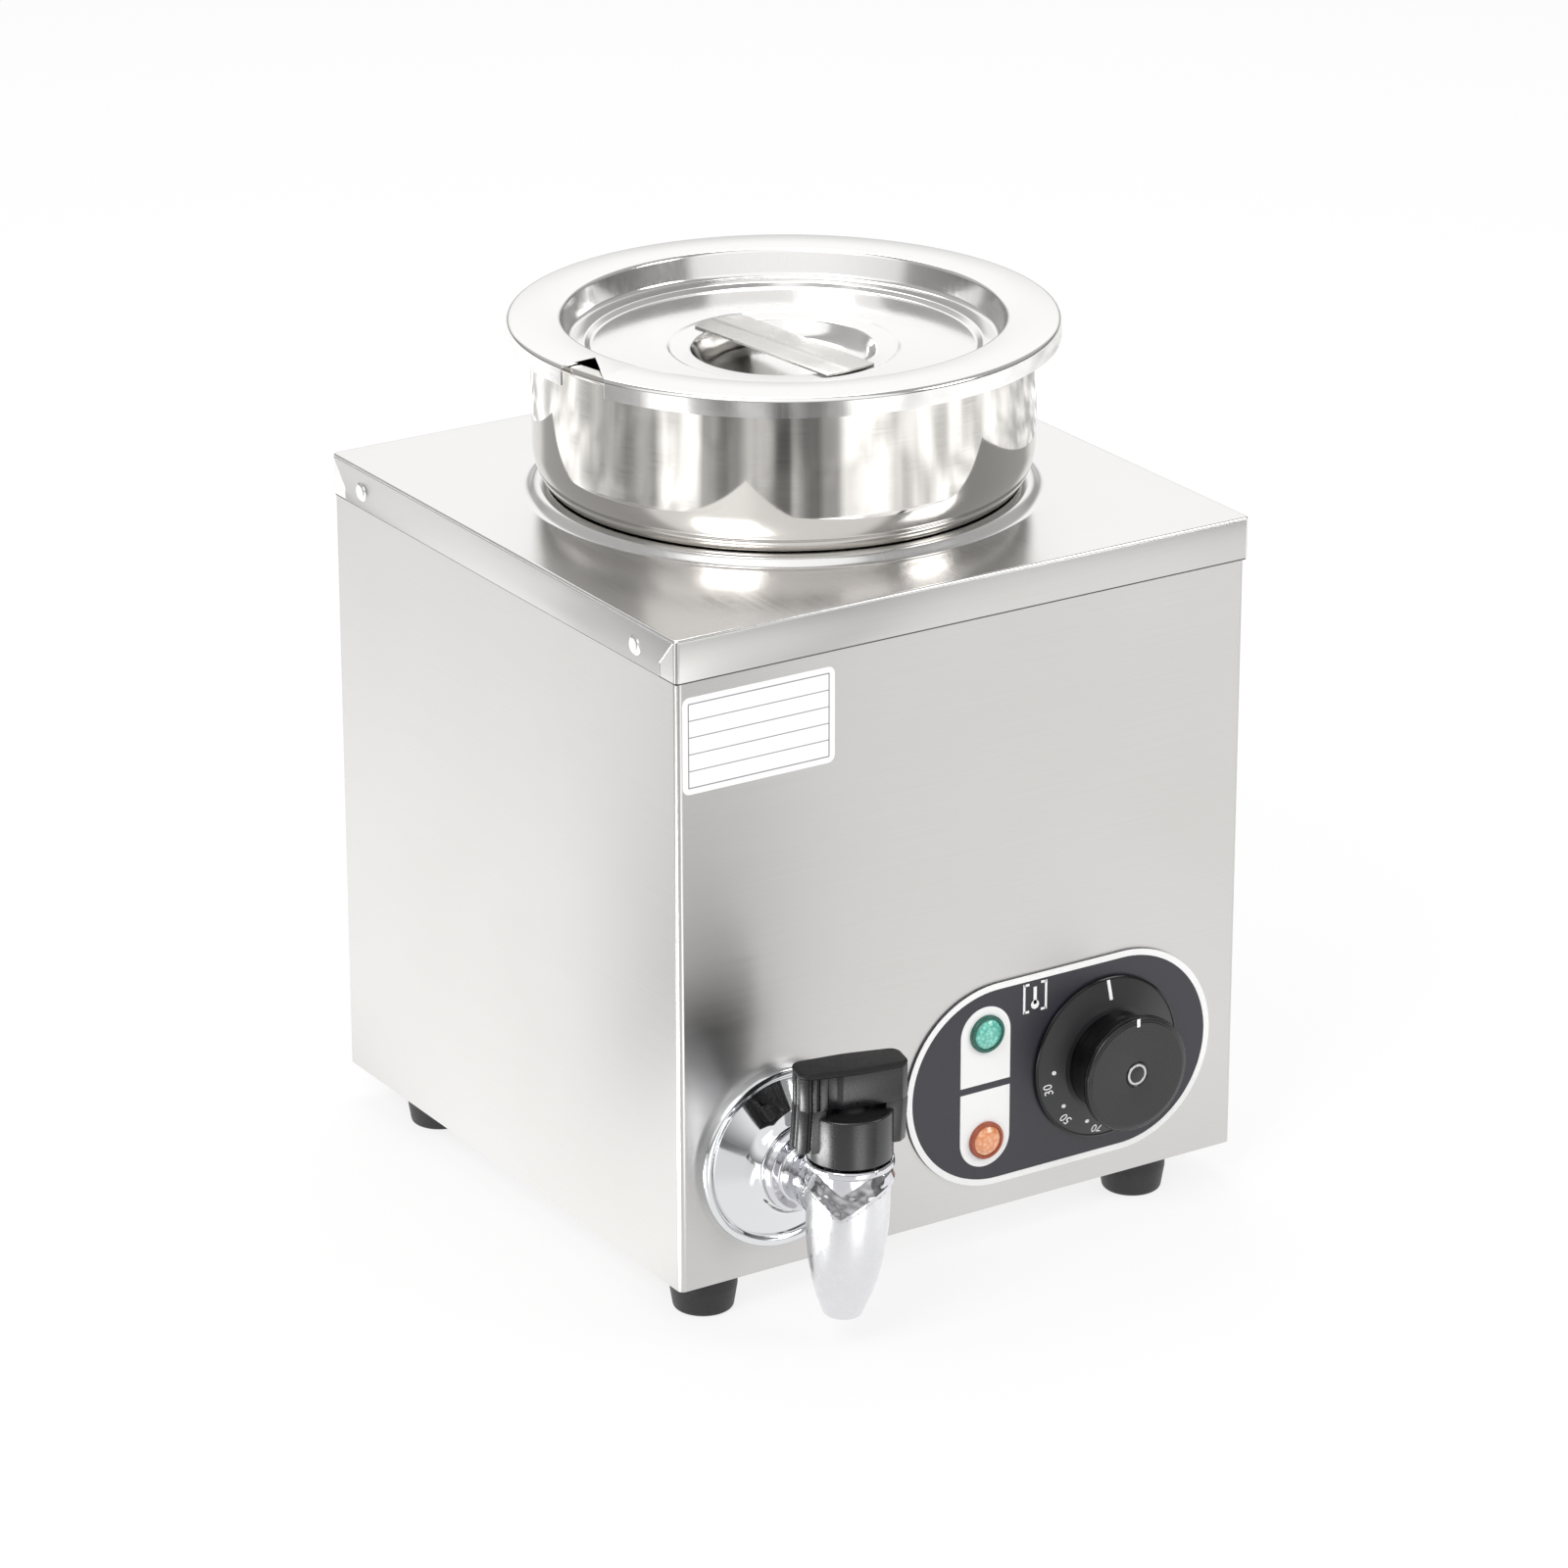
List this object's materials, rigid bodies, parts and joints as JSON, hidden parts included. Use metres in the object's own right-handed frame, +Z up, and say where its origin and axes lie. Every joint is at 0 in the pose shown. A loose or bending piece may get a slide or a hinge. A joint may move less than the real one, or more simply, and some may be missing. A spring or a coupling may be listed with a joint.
{
  "type": "electric sauce warmer",
  "caption": "Square stainless countertop sauce warmer with a round lift-out pot in a heated water tank, notched lid, thermostat panel and a drain tap.",
  "frame": {"origin": "middle of the footprint on the table, under the centre of the bounding box", "axes": "+Z up, +Y towards the rear where the cable gland is, the control panel and tap face -Y, +X to the right as seen from the front"},
  "size_m": [0.2674, 0.3516, 0.3557],
  "materials": {
    "casing": "brushed",
    "cover": "brushed",
    "polished": "polished",
    "chrome_trim": "polished",
    "fastener": "satin",
    "rubber": "matte",
    "panel": "matte",
    "print_white": "matte",
    "black_plastic": "satin",
    "handle_plastic": "satin",
    "green_glass": "gloss",
    "green_rim": "gloss",
    "orange_glass": "gloss",
    "orange_rim": "gloss",
    "brass": "machined",
    "copper": "drawn",
    "element": "satin",
    "tank": "satin",
    "ceramic": "matte",
    "wire": "satin"
  },
  "bodies": {
    "housing": {"casing_wrap": "casing", "rear_panel": "casing", "rear_screws": "fastener", "base_plate": "casing", "base_screws": "fastener", "top_cover": "cover", "cover_rivets": "fastener", "foot_front_left": "rubber", "foot_front_right": "rubber", "foot_rear_left": "rubber", "foot_rear_right": "rubber", "foot_screws": "fastener", "foot_nuts": "fastener", "water_tank": "tank", "heating_element": "element", "element_gaskets": "rubber", "element_nuts": "brass", "element_pins": "fastener", "drain_pipe": "tank", "drain_union": "brass", "tap_flange": "chrome_trim", "tap_seal": "rubber", "tap_body": "chrome_trim", "tap_spout": "chrome_trim", "tap_locknut": "brass", "tap_bonnet": "chrome_trim", "panel_plate": "panel", "panel_border": "print_white", "lamp_label_upper": "print_white", "lamp_label_lower": "print_white", "green_lens": "green_glass", "green_bezel": "green_rim", "orange_lens": "orange_glass", "orange_bezel": "orange_rim", "lamp_bodies": "ceramic", "thermostat_body": "ceramic", "thermostat_screws": "fastener", "capillary": "copper", "sensor_bulb": "copper", "bulb_clip": "fastener", "cutout": "black_plastic", "terminal_block": "ceramic", "terminal_screws": "brass", "earth_stud": "brass", "wire_loom": "wire", "cable_gland": "black_plastic", "gland_locknut": "black_plastic"},
    "knob": {"thermostat_shaft": "fastener", "dial_skirt": "black_plastic", "knob_grip": "black_plastic", "knob_cap": "black_plastic"},
    "tap_handle": {"tap_plug": "fastener", "tap_handle": "handle_plastic", "tap_handle_pin": "fastener"},
    "pot": {"pot": "polished"},
    "lid": {"lid": "polished", "lid_strap": "polished"}
  },
  "joints": [
    {"name": "knob_turn", "type": "hinge", "parent": "housing", "child": "knob", "pos_m": [0.067, -0.1095, 0.069], "axis": [0, 1, 0], "range_deg": [0, 250]},
    {"name": "tap_turn", "type": "hinge", "parent": "housing", "child": "tap_handle", "pos_m": [-0.0855, -0.1585, 0.0635], "axis": [0, 0, 1], "range_deg": [0, 90]},
    {"name": "pot_lift", "type": "slide", "parent": "housing", "child": "pot", "axis": [0, 0, 1], "range_m": [0, 0.15]},
    {"name": "lid_lift", "type": "slide", "parent": "pot", "child": "lid", "axis": [0, 0, 1], "range_m": [0, 0.1]}
  ]
}
